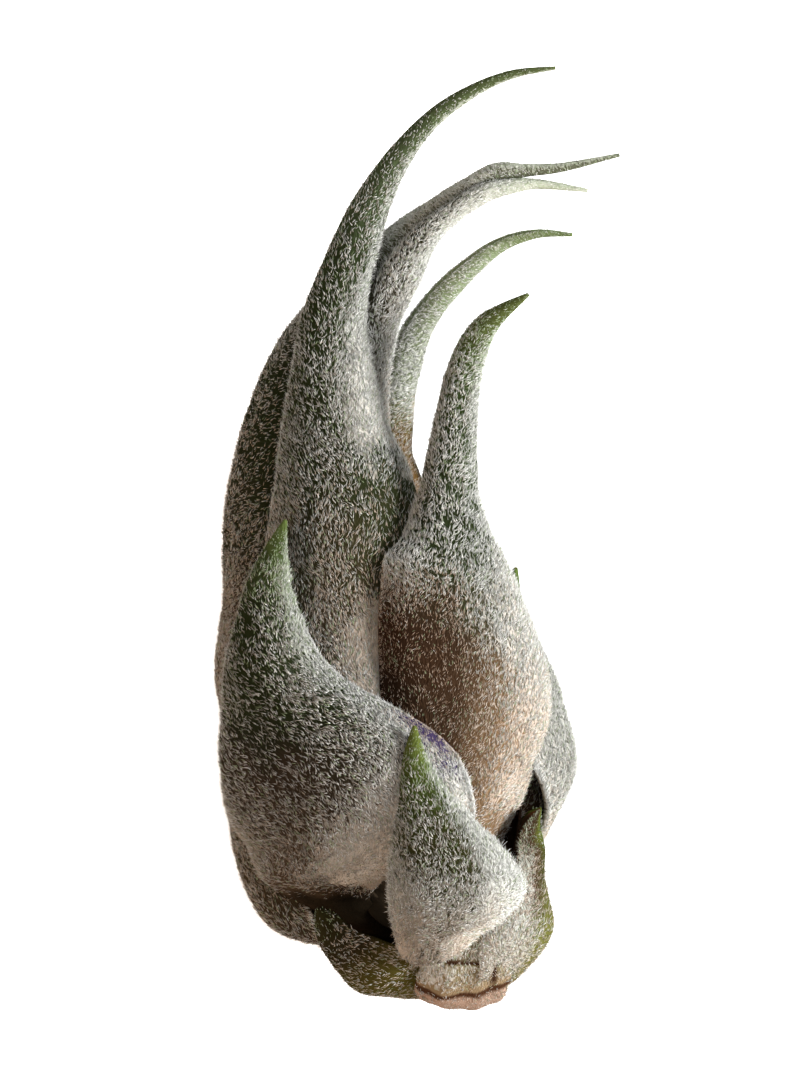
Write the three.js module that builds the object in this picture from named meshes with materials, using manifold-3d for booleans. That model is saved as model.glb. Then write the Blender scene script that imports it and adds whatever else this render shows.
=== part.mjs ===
// A whole air plant, Tillandsia seleriana, lying on its back as it rests on a table.
// Hollow leaf sheaths swell and clasp one another into an egg-shaped false bulb. Each sheath narrows
// into a rolled, horn-like blade. All the leaves grow from a short stem inside the foot of the bulb.
// Millimetres, +Z up, +Y from the foot to the leaf tips, origin on the table under the bulb.

import * as THREE from "three";
import { mergeVertices } from "three/addons/utils/BufferGeometryUtils.js";
import Module from "manifold-3d";

const wasm = await Module();
wasm.setup();

// Sizes shared by all the leaves
const WALL = 1.3; // thickness of a leaf along its keel
const TIP_RADIUS = 0.3; // the least half width and depth, at a leaf's tip
const MARGIN_SHARE = 0.6; // share of that thickness left at the margins
const TUBE_SHARE = 0.7; // the most of a rolled blade's radius that its wall takes up
const GAP = 0.3; // air between two leaves that lie on one another
const FACES_ACROSS = 10; // flat faces across a leaf
const ROWS_PER_STATION = 1.7; // rows of faces for each station along a leaf
const LEVEL_HALF = 9; // half width from which a leaf's sections lie square to the bulb's axis
const FREE_HALF = 4.5; // half width below which they are square to the leaf's own run
const WIDEST_REACH = 2.95; // radians round from the keel that a rolled blade's margin may reach
const CORE = 0.05; // radius left open inside the thinnest tip

const COLORS = { leaf: 0x8f978a, stem: 0x7a6248, dry_bract: 0x9a7452 };

// A station is the middle of the curve across the leaf [x, y, z], its half width, its depth towards the
// outer side, and how many degrees the leaf reaches round to the left and right of its keel.
// "faces" is the way that the outer side looks, and stations run from the foot to the tip.
const leaves = {
  leaf_heart: {
    faces: [0.2, 0, 1],
    stations: [
      [3.5, -35.5, 33.4, 5, 3, 80, 80], [0, -20, 33, 9, 7, 90, 90], [-3, 4, 34, 10.5, 8.5, 98, 98],
      [-4, 26, 35, 8.5, 8, 100, 100], [-6.6, 46, 36.5, 5.6, 6, 112, 112],
      [-6.6, 60, 38, 4.3, 5, 135, 135], [-3.9, 73, 40.5, 4, 4, 150, 150],
      [0.3, 81.5, 42, 3.8, 3.6, 150, 150], [5, 88.6, 43.6, 2.6, 2.6, 150, 150],
      [10.5, 93.3, 44.6, 2.1, 2.1, 150, 150], [15.9, 96.7, 44.8, 1.9, 1.9, 150, 150],
      [20.5, 98, 44.5, 1.5, 1.5, 150, 150], [26.2, 98.6, 44, 1, 1, 150, 150],
      [35.9, 97.4, 43.5, 0.35, 0.35, 150, 150],
    ],
  },
  leaf_left: {
    faces: [-1, 0, 0.15],
    stations: [
      [3.2, -42, 31, 5, 3, 80, 80], [-8, -35.5, 29, 11.5, 7, 90, 92], [-15, -17, 29, 18, 14, 95, 95],
      [-16.5, 2, 28.5, 17, 19, 98, 98], [-16.5, 20, 28.5, 14.5, 17.8, 98, 98],
      [-18.5, 37, 29, 11, 15.3, 100, 100], [-20.3, 52, 30, 8.4, 10.6, 112, 112],
      [-18.8, 63, 31, 6.8, 7.5, 130, 130], [-14.4, 72, 31, 5.5, 5.6, 145, 145],
      [-8, 81, 34, 4.1, 4.1, 150, 150], [-0.5, 88.2, 38, 3, 3, 150, 150],
      [6.5, 93.6, 40.6, 2.3, 2.3, 150, 150], [12.9, 97.8, 42, 2, 2, 150, 150],
      [18.5, 100.8, 43, 1.9, 1.9, 150, 150], [24, 101.2, 43.5, 1.3, 1.3, 150, 150],
      [31, 101.8, 43.5, 0.9, 0.9, 150, 150], [42, 104.2, 43.5, 0.35, 0.35, 150, 150],
    ],
  },
  leaf_inner_right: {
    faces: [0.9, 0, -0.4],
    stations: [
      [7.6, -39.8, 31, 5, 3, 80, 80], [11, -24, 27, 10, 7, 90, 90], [9, -4, 27, 13, 11, 95, 95],
      [5, 16, 27, 11.5, 10, 98, 98], [0, 34, 27, 8, 7.5, 105, 105],
      [-2.6, 46, 27, 5.5, 5.2, 130, 130], [-1.7, 53.5, 27.6, 4.4, 4.2, 145, 145],
      [-0.3, 61.1, 30, 3.6, 3.6, 150, 150], [2.4, 69.2, 33.4, 3, 3, 150, 150],
      [6.6, 76, 36, 2.5, 2.5, 150, 150], [12, 81.6, 38, 2.1, 2.1, 150, 150],
      [19, 87, 39.5, 1.5, 1.5, 150, 150], [26, 89.2, 41, 0.9, 0.9, 150, 150],
      [33, 89, 42, 0.35, 0.35, 150, 150],
    ],
  },
  leaf_tall: {
    faces: [-0.25, 0, 1],
    stations: [
      [4, -42, 33.5, 4.6, 2.6, 80, 80], [-3, -35, 35.5, 10, 6, 88, 88], [-9.5, -14, 40, 17, 12, 95, 95],
      [-10.5, 8, 39.5, 18, 14.5, 98, 98], [-10.4, 27, 40, 16, 14.5, 100, 100],
      [-10.7, 42, 41, 13.2, 12.5, 105, 105], [-12.6, 53.5, 42.5, 9.8, 9.6, 115, 115],
      [-13, 66.8, 43.5, 7, 7.2, 132, 132], [-11.8, 77, 44, 5.6, 5.6, 145, 145],
      [-8.6, 87, 44.5, 4.4, 4.4, 150, 150], [-4.9, 95.5, 45, 3.4, 3.4, 150, 150],
      [-0.5, 103.1, 46, 2.5, 2.5, 150, 150], [6.1, 110.8, 47, 1.75, 1.75, 150, 150],
      [14, 116.2, 48, 1.25, 1.25, 150, 150], [21.5, 119.2, 49, 0.85, 0.85, 150, 150],
      [29.6, 120.3, 50, 0.35, 0.35, 150, 150],
    ],
  },
  leaf_back_right: {
    faces: [0.75, 0, -0.66],
    stations: [
      [8.6, -43.2, 29.6, 5, 3, 80, 80], [13, -33, 24, 12, 8, 90, 90],
      [13.5, -18, 21, 16.5, 14, 95, 95], [12.5, -2, 21, 17.5, 16, 95, 95],
      [11, 14, 22, 14.5, 13.5, 98, 98], [9.6, 28, 24.5, 9.5, 9, 105, 105],
      [9.4, 40, 27.5, 5.2, 5.2, 135, 135], [10.5, 50, 30.5, 2.6, 2.6, 150, 150],
      [12, 58, 33, 0.35, 0.35, 150, 150],
    ],
  },
  leaf_right_front: {
    faces: [0.3, 0, 0.95],
    stations: [
      [8, -44.4, 34.4, 5, 3, 80, 80], [9, -31, 39, 9, 6, 85, 90], [10.3, -18, 40.5, 14, 11, 72, 95],
      [10.6, -6, 42, 18, 13.6, 68, 95], [10.6, 4, 44, 18.2, 13.8, 68, 95],
      [9.2, 14, 46, 16.6, 12.6, 68, 97], [7.7, 22.9, 47, 14.2, 11.4, 68, 100],
      [7.2, 27.3, 47.5, 12.6, 10.2, 70, 103], [8.3, 31.2, 48, 9.2, 8.4, 80, 106],
      [9.1, 38, 48.5, 6.2, 6.3, 112, 115], [9.8, 46, 49, 4.95, 5, 135, 135],
      [10.7, 54.5, 50, 4, 4, 150, 150], [11.9, 61.4, 51.3, 3.5, 3.5, 150, 150],
      [14, 67.4, 52.8, 2.9, 2.9, 150, 150], [17.3, 72.2, 54.8, 2.1, 2.1, 150, 150],
      [24.3, 77, 58, 0.35, 0.35, 150, 150],
    ],
  },
  leaf_back: {
    faces: [0, 0, -1],
    stations: [
      [6.5, -46.5, 29.2, 6, 3.4, 80, 80], [3.6, -38.5, 21.5, 14, 9.5, 92, 88],
      [1, -21, 17.4, 20, 17.4, 92, 92],
      [-2, -1, 16.8, 22, 19, 95, 95], [-3.5, 18, 16.8, 19.5, 17.8, 98, 98],
      [-6, 34, 19, 14.5, 12.5, 100, 100], [-9, 48, 19.5, 9, 8, 112, 112],
      [-11, 60, 20, 4.6, 4.6, 140, 140], [-11, 70, 21.5, 2, 2, 150, 150],
      [-10, 77, 23, 0.35, 0.35, 150, 150],
    ],
  },
  leaf_right_side: {
    faces: [1, 0, -0.15],
    stations: [
      [10.6, -46.7, 31.3, 5, 3, 80, 80], [16, -37, 29, 11, 6.5, 44, 90],
      [17.5, -26, 28, 15, 11, 40, 95], [18.2, -13, 28.5, 17, 16, 72, 95],
      [17.5, 0, 29.5, 15, 13.8, 92, 95], [18.5, 10, 31.5, 10.5, 8.8, 95, 95],
      [20, 18, 34.5, 4.6, 4.2, 115, 115], [22.3, 25.2, 38.5, 0.35, 0.35, 150, 150],
    ],
  },
  leaf_left_front: {
    faces: [-0.42, 0, 0.91],
    stations: [
      [4.8, -46, 29.5, 4.4, 2.6, 80, 60], [-2.5, -43.4, 29, 4.6, 3.2, 85, 70],
      [-9.2, -40.4, 30.5, 6.6, 5, 90, 75], [-12.8, -37.8, 36.4, 9.4, 8.4, 92, 75],
      [-13.2, -33.6, 43.6, 13.6, 12, 95, 76],
      [-9.6, -28, 46.6, 20.4, 14.8, 98, 80],
      [-8.4, -22, 47.5, 26, 16, 100, 83],
      [-10.5, -11, 47.6, 25.2, 16.5, 100, 84],
      [-13, -5.5, 47.8, 22.3, 15.5, 100, 84], [-17, -0.5, 48.2, 17.5, 13.5, 100, 84],
      [-21.5, 4.5, 49, 12.2, 10.5, 100, 86], [-24.2, 11.5, 51, 8.2, 8, 105, 92],
      [-25, 20, 53.5, 4.9, 4.9, 128, 120], [-23.6, 28, 56, 2.4, 2.4, 145, 145],
      [-21.6, 34.4, 58, 0.35, 0.35, 150, 150],
    ],
  },
  leaf_left_low: {
    faces: [-0.8, 0, -0.6],
    stations: [
      [6.1, -50, 30.6, 5, 3, 80, 80], [-5, -48.4, 25, 10, 5, 90, 90],
      [-12, -44.8, 21.5, 16, 10.8, 95, 122], [-15, -34, 20, 19, 14, 95, 118],
      [-16.6, -20, 19.5, 19.5, 15, 95, 106], [-17.2, -6, 19.5, 18, 15, 95, 95],
      [-19, 8, 19.5, 13.5, 12.5, 95, 95], [-21.5, 22, 20, 8, 8, 105, 105],
      [-23, 34, 22, 3.8, 3.8, 140, 140], [-23, 43, 24, 0.35, 0.35, 150, 150],
    ],
  },
  leaf_front_small: {
    faces: [0.1, 0, 1],
    stations: [
      [9.3, -48.2, 36.2, 4, 2, 80, 80], [7.2, -46.8, 46, 5.4, 2.8, 80, 80],
      [5.7, -45.6, 51.8, 7, 6.2, 82, 82], [8.6, -41.5, 56.4, 10.3, 9, 84, 84],
      [10.2, -36.5, 58.3, 12.6, 10.2, 84, 84], [10, -32, 59.6, 12.4, 10, 84, 84],
      [7.9, -25.8, 61, 10, 9, 84, 84], [4.6, -19, 63, 6.2, 6.6, 88, 88],
      [2.9, -11.5, 64.5, 2.8, 3, 120, 120], [2.7, -4.2, 65.5, 0.35, 0.35, 150, 150],
    ],
  },
  leaf_back_low: {
    faces: [0.35, 0, -0.94],
    stations: [
      [10, -52.5, 29.2, 5, 3, 80, 80], [11, -50, 21, 9, 6.5, 85, 85],
      [11.5, -43, 17, 12, 11.5, 88, 88], [11, -34, 15.5, 12.5, 13.2, 90, 90],
      [11, -25, 13.5, 9.5, 10.6, 92, 92], [13, -17, 8.8, 4.8, 5.2, 100, 100],
      [15.6, -10.5, 5, 2.2, 2.2, 140, 140], [17, -4.5, 4, 0.35, 0.35, 150, 150],
    ],
  },
  bract_left: {
    faces: [-0.3, -0.6, 0.74], axis: [-0.8, 0.5, 0.3],
    stations: [
      [8, -54.6, 36, 5.5, 3, 80, 85], [4.5, -52.1, 38, 9, 5, 85, 85],
      [-2, -49.2, 40.5, 11.2, 7, 88, 56], [-7.6, -45.6, 43, 9, 6, 90, 46],
      [-12.2, -42.4, 46, 5, 4.2, 95, 50], [-15.7, -39.5, 49, 0.4, 0.4, 100, 100],
    ],
  },
  bract_right: {
    faces: [0.94, 0, 0.34], axis: [0.25, 0.93, 0.27],
    stations: [
      [13.4, -55.8, 34.4, 5.4, 3, 75, 80], [16.4, -53, 36.8, 10, 5.4, 66, 90],
      [17.3, -48.4, 37.5, 13.2, 8.2, 74, 95], [18.5, -41, 37.5, 14.8, 11, 78, 95],
      [19.5, -32, 38, 11.5, 8.6, 54, 95],
      [22.3, -25, 41.5, 6, 5.2, 60, 100], [26.7, -20.6, 46, 0.4, 0.4, 100, 100],
    ],
  },
  dry_bract: {
    faces: [0, -0.75, 0.66], axis: [0, 0.6, 0.8],
    stations: [
      [12, -57.4, 35.6, 5, 2, 75, 75], [11.8, -56.2, 40.6, 8.8, 3.4, 80, 80],
      [12, -53.6, 44.8, 9.4, 3.6, 80, 80], [12.6, -50.4, 47, 8.6, 3.2, 80, 80],
      [13.2, -47.2, 48.8, 7.6, 2.6, 80, 80], [14.2, -44, 50, 7, 2.2, 80, 80], [14.6, -41.5, 50.6, 0.6, 0.6, 80, 80],
    ],
  },
};

const smooth = (x) => {
  const t = Math.min(1, Math.max(0, x));
  return t * t * (3 - 2 * t);
};

// The station at u, counted in stations from the foot, on a smooth curve through all of them.
function stationAt(stations, u) {
  const last = stations.length - 1;
  const i = Math.min(last - 1, Math.floor(u));
  const t = u - i;
  const [a, b, c, d] = [-1, 0, 1, 2].map((k) => stations[Math.min(last, Math.max(0, i + k))]);
  return b.map((_, n) => 0.5 * (2 * b[n] + (c[n] - a[n]) * t + (2 * a[n] - 5 * b[n] + 4 * c[n] - d[n]) * t * t
    + (3 * b[n] - a[n] - 3 * c[n] + d[n]) * t * t * t));
}

// Even rows along a leaf. Where the leaf is wide its sections lie square to the bulb, and where it is
// narrow they are square to its run. The outward direction is carried along without twist.
function spine(leaf, steps) {
  const last = leaf.stations.length - 1;
  const axis = new THREE.Vector3(...(leaf.axis ?? [0, 1, 0])).normalize();
  const rows = [];
  for (let i = 0; i <= steps; i++) {
    const [x, y, z, half, depth, left, right] = stationAt(leaf.stations, (last * i) / steps);
    const size = { half: Math.max(half, TIP_RADIUS), depth: Math.max(depth, TIP_RADIUS) };
    rows.push({ mid: new THREE.Vector3(x, y, z), ...size, left, right });
  }
  rows.forEach((row, i) => {
    const [before, after] = [rows[Math.max(0, i - 1)], rows[Math.min(steps, i + 1)]];
    const run = after.mid.clone().sub(before.mid).normalize();
    const free = smooth((LEVEL_HALF - row.half) / (LEVEL_HALF - FREE_HALF));
    row.along = axis.clone().lerp(run, free).normalize();
  });
  const square = (v, along) => v.clone().addScaledVector(along, -v.dot(along)).normalize();
  const widest = rows.reduce((best, row, i) => (row.half > rows[best].half ? i : best), 0);
  rows[widest].out = square(new THREE.Vector3(...leaf.faces), rows[widest].along);
  for (let i = widest + 1; i <= steps; i++) rows[i].out = square(rows[i - 1].out, rows[i].along);
  for (let i = widest - 1; i >= 0; i--) rows[i].out = square(rows[i + 1].out, rows[i].along);
  for (const row of rows) row.side = row.along.clone().cross(row.out);
  return rows;
}

// One leaf as a closed shell, thinner at its margins. "grow" makes it that much larger on every side.
function leafGeometry(leaf, grow = 0) {
  const fine = 6; // steps between rows, so that the outward direction is carried smoothly
  const steps = Math.round((leaf.stations.length - 1) * ROWS_PER_STATION);
  const rows = spine(leaf, steps * fine).filter((_, i) => i % fine === 0);
  const points = [];
  rows.forEach((row, i) => {
    const thick = Math.min(WALL, TUBE_SHARE * row.half, TUBE_SHARE * row.depth);
    const spread = grow / row.half;
    const wraps = [row.left, row.right].map(THREE.MathUtils.degToRad);
    const reach = wraps.map((wrap) => Math.min(wrap + spread, WIDEST_REACH));
    const slide = i === 0 ? -grow : i === rows.length - 1 ? grow : 0;
    for (const inner of [false, true]) {
      for (let k = 0; k <= FACES_ACROSS; k++) {
        const j = inner ? FACES_ACROSS - k : k;
        const angle = -reach[0] + ((reach[0] + reach[1]) * j) / FACES_ACROSS;
        const edge = angle / (angle < 0 ? reach[0] : reach[1]);
        const inset = inner ? thick * (1 - (1 - MARGIN_SHARE) * edge * edge) + grow : -grow;
        const p = row.mid.clone()
          .addScaledVector(row.out, Math.max(row.depth - inset, CORE) * Math.cos(angle))
          .addScaledVector(row.side, Math.max(row.half - inset, CORE) * Math.sin(angle))
          .addScaledVector(row.along, slide);
        p.z = Math.max(p.z, inner ? WALL - grow : -grow);
        points.push(p.x, p.y, p.z);
      }
    }
  });
  const loop = 2 * (FACES_ACROSS + 1);
  const faces = [];
  const quad = (a, b, c, d) => faces.push(a, b, c, a, c, d);
  for (let i = 0; i < rows.length - 1; i++) {
    for (let j = 0; j < loop; j++) {
      const next = (j + 1) % loop;
      quad(i * loop + j, i * loop + next, (i + 1) * loop + next, (i + 1) * loop + j);
    }
  }
  const end = (rows.length - 1) * loop;
  for (let j = 0; j < FACES_ACROSS; j++) {
    quad(j, loop - 1 - j, loop - 2 - j, j + 1);
    quad(end + j, end + j + 1, end + loop - 2 - j, end + loop - 1 - j);
  }
  const geometry = new THREE.BufferGeometry();
  geometry.setAttribute("position", new THREE.Float32BufferAttribute(points, 3));
  geometry.setIndex(faces);
  return geometry;
}

// The short stem: a tapered stub with a domed top, broken off square at the foot.
const STEM_FOOT = new THREE.Vector3(11.5, -58, 32.2);
const STEM_TOP = new THREE.Vector3(3.4, -34.5, 31.3);
const STEM_FOOT_RADIUS = 5;
const STEM_TOP_RADIUS = 3.6;
const STEM_CHAMFER = 0.7;
const STEM_FACES = 20;
const DOME_ROWS = 4;

function stemGeometry(grow = 0) {
  const run = STEM_TOP.clone().sub(STEM_FOOT);
  const length = run.length();
  const foot = STEM_FOOT_RADIUS + grow;
  const top = STEM_TOP_RADIUS + grow;
  const profile = [[0, -grow], [foot - STEM_CHAMFER, -grow], [foot, STEM_CHAMFER]];
  for (let i = 0; i <= DOME_ROWS; i++) {
    const turn = (i / DOME_ROWS) * (Math.PI / 2);
    const radius = i === DOME_ROWS ? 0 : top * Math.cos(turn);
    profile.push([radius, length - STEM_TOP_RADIUS + top * Math.sin(turn)]);
  }
  const lathe = new THREE.LatheGeometry(profile.map(([r, y]) => new THREE.Vector2(r, y)), STEM_FACES);
  lathe.deleteAttribute("normal");
  lathe.deleteAttribute("uv");
  const turned = new THREE.Quaternion().setFromUnitVectors(new THREE.Vector3(0, 1, 0), run.normalize());
  return lathe.applyQuaternion(turned).translate(...STEM_FOOT);
}

function solid(geometry) {
  const merged = mergeVertices(geometry, SAME_POINT);
  return new wasm.Manifold(new wasm.Mesh({
    numProp: 3,
    vertProperties: new Float32Array(merged.attributes.position.array),
    triVerts: new Uint32Array(merged.index.array),
  }));
}

// Trimming leaves loose slivers where a margin dips into the leaf below it. Only the leaf itself stays.
const largest = (shape) => shape.decompose().sort((a, b) => b.volume() - a.volume())[0];

const SAME_POINT = 1e-4; // points nearer than this are one
const TRIM_TOLERANCE = 0.02; // how far trimming may move a face to drop needless ones

function toMesh(name, shape, color) {
  const { vertProperties, triVerts, numProp } = shape.getMesh();
  const geometry = new THREE.BufferGeometry();
  const places = [];
  for (let i = 0; i < vertProperties.length; i += numProp) places.push(...vertProperties.slice(i, i + 3));
  geometry.setAttribute("position", new THREE.Float32BufferAttribute(places, 3));
  geometry.setIndex(Array.from(triVerts));
  const material = new THREE.MeshStandardMaterial({ color, roughness: 0.9, metalness: 0 });
  const mesh = new THREE.Mesh(geometry, material);
  mesh.name = name;
  return mesh;
}

// From the stem outwards, each leaf gives way to the ones that it clasps.
const plant = new THREE.Group();
plant.name = "tillandsia_seleriana";
plant.add(toMesh("stem", solid(stemGeometry()), COLORS.stem));
let inside = solid(stemGeometry(GAP));
for (const [name, leaf] of Object.entries(leaves)) {
  const whole = solid(leafGeometry(leaf));
  const trimmed = largest(whole.subtract(inside)).simplify(TRIM_TOLERANCE);
  plant.add(toMesh(name, trimmed, COLORS[name] ?? COLORS.leaf));
  inside = inside.add(solid(leafGeometry(leaf, GAP)));
}
export default plant;
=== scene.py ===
# A whole air plant, Tillandsia seleriana, as picked: it lies on its back on a pale table, and the
# camera looks straight down on it. Lengths in the station tables are millimetres.

import math

import bmesh
import bpy
import numpy as np
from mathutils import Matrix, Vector
from mathutils.bvhtree import BVHTree


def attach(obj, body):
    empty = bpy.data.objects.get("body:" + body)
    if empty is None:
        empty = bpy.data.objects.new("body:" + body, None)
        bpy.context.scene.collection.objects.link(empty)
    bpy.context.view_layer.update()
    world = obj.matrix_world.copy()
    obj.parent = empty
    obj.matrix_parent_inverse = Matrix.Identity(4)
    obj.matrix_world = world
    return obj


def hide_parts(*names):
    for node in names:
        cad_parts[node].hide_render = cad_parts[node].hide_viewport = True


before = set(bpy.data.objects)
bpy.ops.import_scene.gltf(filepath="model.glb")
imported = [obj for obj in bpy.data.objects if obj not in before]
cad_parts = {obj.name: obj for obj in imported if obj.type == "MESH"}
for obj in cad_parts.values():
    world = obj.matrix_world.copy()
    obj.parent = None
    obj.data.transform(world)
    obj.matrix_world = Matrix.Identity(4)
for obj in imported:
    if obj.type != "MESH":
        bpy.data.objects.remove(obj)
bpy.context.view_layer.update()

# The tall leaf
# The longest leaf, in front and to the left. It is one living leaf: a hollow sheath that swells in the
# bulb, and a blade whose margins roll in until it is a tube. It grew in one piece, 1.3 mm thick.
MM = 0.001


def through(stations, steps):
    """A smooth curve through the stations, as one row of seven numbers for each step."""
    table = np.array(stations, float)
    last = len(table) - 1
    u = np.linspace(0, last, steps + 1)
    i = np.minimum(np.floor(u).astype(int), last - 1)
    t = (u - i)[:, None]
    a, b, c, d = (table[np.clip(i + k, 0, last)] for k in (-1, 0, 1, 2))
    return 0.5 * (2 * b + (c - a) * t + (2 * a - 5 * b + 4 * c - d) * t**2 + (3 * b - a - 3 * c + d) * t**3)


SPINE_STEPS = 480
LEVEL_HALF = 9.0  # half width from which the sections lie square to the bulb's axis
FREE_HALF = 4.5  # half width below which they are square to the leaf's own run
TIP_HALF = 0.3  # the least half width and depth, at the tip


def grow_spine(stations, faces, axis=(0, 1, 0)):
    """The leaf's middle line with its widths and its outward and sideways directions."""
    rows = through(stations, SPINE_STEPS)
    mid, half, depth = rows[:, :3], np.maximum(rows[:, 3], TIP_HALF), np.maximum(rows[:, 4], TIP_HALF)
    run = np.gradient(mid, axis=0)
    run /= np.linalg.norm(run, axis=1)[:, None]
    axis = np.array(axis, float) / np.linalg.norm(axis)
    free = np.clip((LEVEL_HALF - half) / (LEVEL_HALF - FREE_HALF), 0, 1)
    free = (free * free * (3 - 2 * free))[:, None]
    along = axis * (1 - free) + run * free
    along /= np.linalg.norm(along, axis=1)[:, None]
    out = np.zeros_like(mid)
    widest = int(np.argmax(half))
    seed = np.array(faces, float)
    out[widest] = seed
    for i in list(range(widest, SPINE_STEPS + 1)) + list(range(widest - 1, -1, -1)):
        before = out[i - 1] if i > widest else out[i + 1] if i < widest else seed
        out[i] = before - along[i] * np.dot(before, along[i])
        out[i] /= np.linalg.norm(out[i])
    length = np.concatenate([[0], np.cumsum(np.linalg.norm(np.diff(mid, axis=0), axis=1))])
    return {
        "mid": mid, "half": half, "depth": depth, "left": np.radians(rows[:, 5]),
        "right": np.radians(rows[:, 6]), "along": along, "out": out, "side": np.cross(along, out),
        "length": length,
    }


WAVES = 6  # random waves that are added up to a swell
WAVE_SPREAD = (0.7, 1.5)  # their lengths, as shares of the length that is asked for
WAVE_PHASE = 6.28  # the most that one of them is shifted, in radians
WAVE_SUM = 3.5  # brings their sum to about -1 to 1


def lumps(place, seed, wave):
    """A gentle random swell, from about -1 to 1, that changes over about one wave length."""
    rng = np.random.default_rng(seed)
    total = np.zeros(len(place))
    for _ in range(WAVES):
        direction = rng.normal(size=3)
        direction /= np.linalg.norm(direction)
        length = wave * rng.uniform(*WAVE_SPREAD)
        total += np.sin(place @ direction * (2 * math.pi / length) + rng.uniform(0, WAVE_PHASE))
    return total / WAVE_SUM


SWELL, SWELL_WAVE = 0.32, 17.0  # height and wave length of the skin's broad unevenness
DIMPLE, DIMPLE_WAVE = 0.1, 5.0  # and of its fine unevenness
RIB, RIBS = 0.10, 9  # height of the low ribs along a leaf, and their number in a full turn
RIB_WANDER, RIB_WAVE = 2.0, 30.0  # how far the ribs wander, and over what length
SMOOTH_HALF, ROUGH_SPAN, LEAST_ROUGH = 0.4, 6, 0.02  # a leaf is smoother where it is narrow


def on_leaf(spine, run, across, seed, bumpy):
    """Places on a leaf's outer side: run goes 0 to 1 from foot to tip, across -1 to 1 between margins."""
    at = run * SPINE_STEPS
    i = np.clip(np.floor(at).astype(int), 0, SPINE_STEPS - 1)
    t = at - i

    def mix(name):
        rows = spine[name]
        f = t[:, None] if rows.ndim == 2 else t
        return rows[i] * (1 - f) + rows[i + 1] * f

    left, right = mix("left"), mix("right")
    angle = -left + (left + right) * (across + 1) / 2
    half, depth = mix("half"), mix("depth")
    out, side = mix("out"), mix("side")
    place = mix("mid") + out * (depth * np.cos(angle))[:, None] + side * (half * np.sin(angle))[:, None]
    outward = out * np.cos(angle)[:, None] + side * np.sin(angle)[:, None]
    swell = SWELL * lumps(place, seed, SWELL_WAVE) + DIMPLE * lumps(place, seed + 1, DIMPLE_WAVE)
    ribs = RIB * np.sin(angle * RIBS + RIB_WANDER * lumps(place, seed + 2, RIB_WAVE))
    tame = np.clip((np.minimum(half, depth) - SMOOTH_HALF) / ROUGH_SPAN, LEAST_ROUGH, 1) * bumpy
    place = place + outward * ((swell + ribs) * tame)[:, None]
    place[:, 2] = np.maximum(place[:, 2], 0)
    return place


def ramp(nodes, links, source, stops):
    """A colour ramp over one value, with its stops given as (position, colour or grey)."""
    node = nodes.new("ShaderNodeValToRGB")
    elements = node.color_ramp.elements
    while len(elements) < len(stops):
        elements.new(0.5)
    for element, (position, value) in zip(elements, sorted(stops)):
        element.position = position
        element.color = (*value, 1) if isinstance(value, tuple) else (value, value, value, 1)
    links.new(source, node.inputs["Fac"])
    return node.outputs["Color"]


def arithmetic(nodes, links, operation, *values):
    """One arithmetic node. A socket is linked and a number is typed in."""
    node = nodes.new("ShaderNodeMath")
    node.operation = operation
    for socket, value in zip(node.inputs, values):
        if isinstance(value, (int, float)):
            socket.default_value = value
        else:
            links.new(value, socket)
    return node.outputs[0]


def noise(nodes, links, vector, scale, detail):
    """A noise pattern over a vector."""
    node = nodes.new("ShaderNodeTexNoise")
    node.inputs["Scale"].default_value = scale
    node.inputs["Detail"].default_value = detail
    links.new(vector, node.inputs["Vector"])
    return node


def new_surface(name, roughness, color=None, specular=0.5):
    """A material and its surface node. Without a colour here, one is linked to it later."""
    material = bpy.data.materials.new(name)
    material.use_nodes = True
    surface = material.node_tree.nodes["Principled BSDF"]
    surface.inputs["Roughness"].default_value = roughness
    surface.inputs["Specular IOR Level"].default_value = specular
    if color:
        surface.inputs["Base Color"].default_value = (*color, 1)
    return material, surface


DRIFT = 0.2  # how far the borders of the colours wander, as a share of the leaf
SWIRL = 3  # how far the felt's grain is bent, in millimetres
GRAIN = (2.3, 0.7)  # patches of the felt for each millimetre, across its grain and along it
BALD_SPAN = 0.05  # share of the run over which the felt begins
COVER_GAIN, COVER_LEVEL = 0.56, -0.45  # turn a share of silver into the part of the noise it covers
SHADE_DULL_FELT = 0.9  # how much darker the felt is where it is dull all over, as painted shade


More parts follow.
